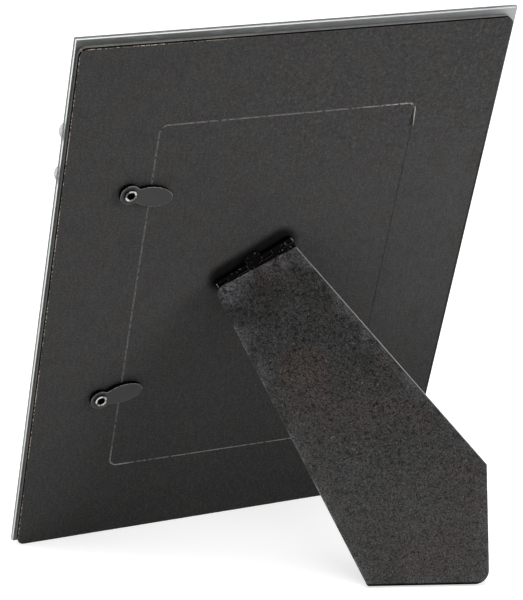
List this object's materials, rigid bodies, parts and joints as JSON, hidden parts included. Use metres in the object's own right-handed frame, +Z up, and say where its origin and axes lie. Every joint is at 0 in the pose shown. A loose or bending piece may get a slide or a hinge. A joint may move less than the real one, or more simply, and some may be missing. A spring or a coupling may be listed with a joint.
{
  "type": "easel back photo frame",
  "caption": "Portrait picture frame with a mirror-bordered glass front, faced back board with cut-in door, turn buttons and a slanted folding strut.",
  "frame": {"origin": "on the ground, under the middle of the frame's footprint with the strut open", "axes": "+Z up, +Y towards the back where the strut stands, -Y the side of the picture, +X to the picture's right as a viewer in front sees it"},
  "size_m": [0.178, 0.123, 0.213],
  "materials": {
    "glass": "clear, edges ground matt",
    "silvering": "silvered towards the glass, grey backing paint behind",
    "bead_glass": "smoky, smooth",
    "adhesive": "thin double-sided film",
    "card": "matt",
    "fibreboard": "pressed fibre, raw cut edges",
    "facing": "black, matt, fine grain",
    "plated_steel": "bright nickel plate on the eyelets and the pin",
    "black_metal": "black enamel, satin, on the turn buttons, hinge leaves and rivets"
  },
  "bodies": {
    "frame": {"glass_plate": "glass", "mirror_coat": "silvering", "bead_upper": "bead_glass", "bead_lower": "bead_glass", "bond_frame": "adhesive", "picture_card": "card", "back_board": "fibreboard", "door_panel": "fibreboard", "back_facing": "facing", "eyelet_upper": "plated_steel", "eyelet_lower": "plated_steel", "hinge_door_leaf": "black_metal", "hinge_pin": "plated_steel", "door_rivets": "black_metal"},
    "strut": {"hinge_strut_leaf": "black_metal", "strut_rivets": "black_metal", "strut_core": "fibreboard", "strut_cover": "facing", "strut_lining": "facing"},
    "button_upper": {"turn_button_upper": "black_metal"},
    "button_lower": {"turn_button_lower": "black_metal"}
  },
  "joints": [
    {"name": "strut_hinge", "type": "hinge", "parent": "frame", "child": "strut", "pos_m": [0.02028, -0.01296, 0.10888], "axis": [-0.8526, 0.1864, 0.4881], "range_deg": [0, 44.75]},
    {"name": "upper_button_turn", "type": "hinge", "parent": "frame", "child": "button_upper", "pos_m": [0.06218, 0.00273, 0.15138], "axis": [0, 0.9342, -0.3567], "continuous": true},
    {"name": "lower_button_turn", "type": "hinge", "parent": "frame", "child": "button_lower", "pos_m": [0.06218, -0.03055, 0.06422], "axis": [0, 0.9342, -0.3567], "continuous": true}
  ]
}
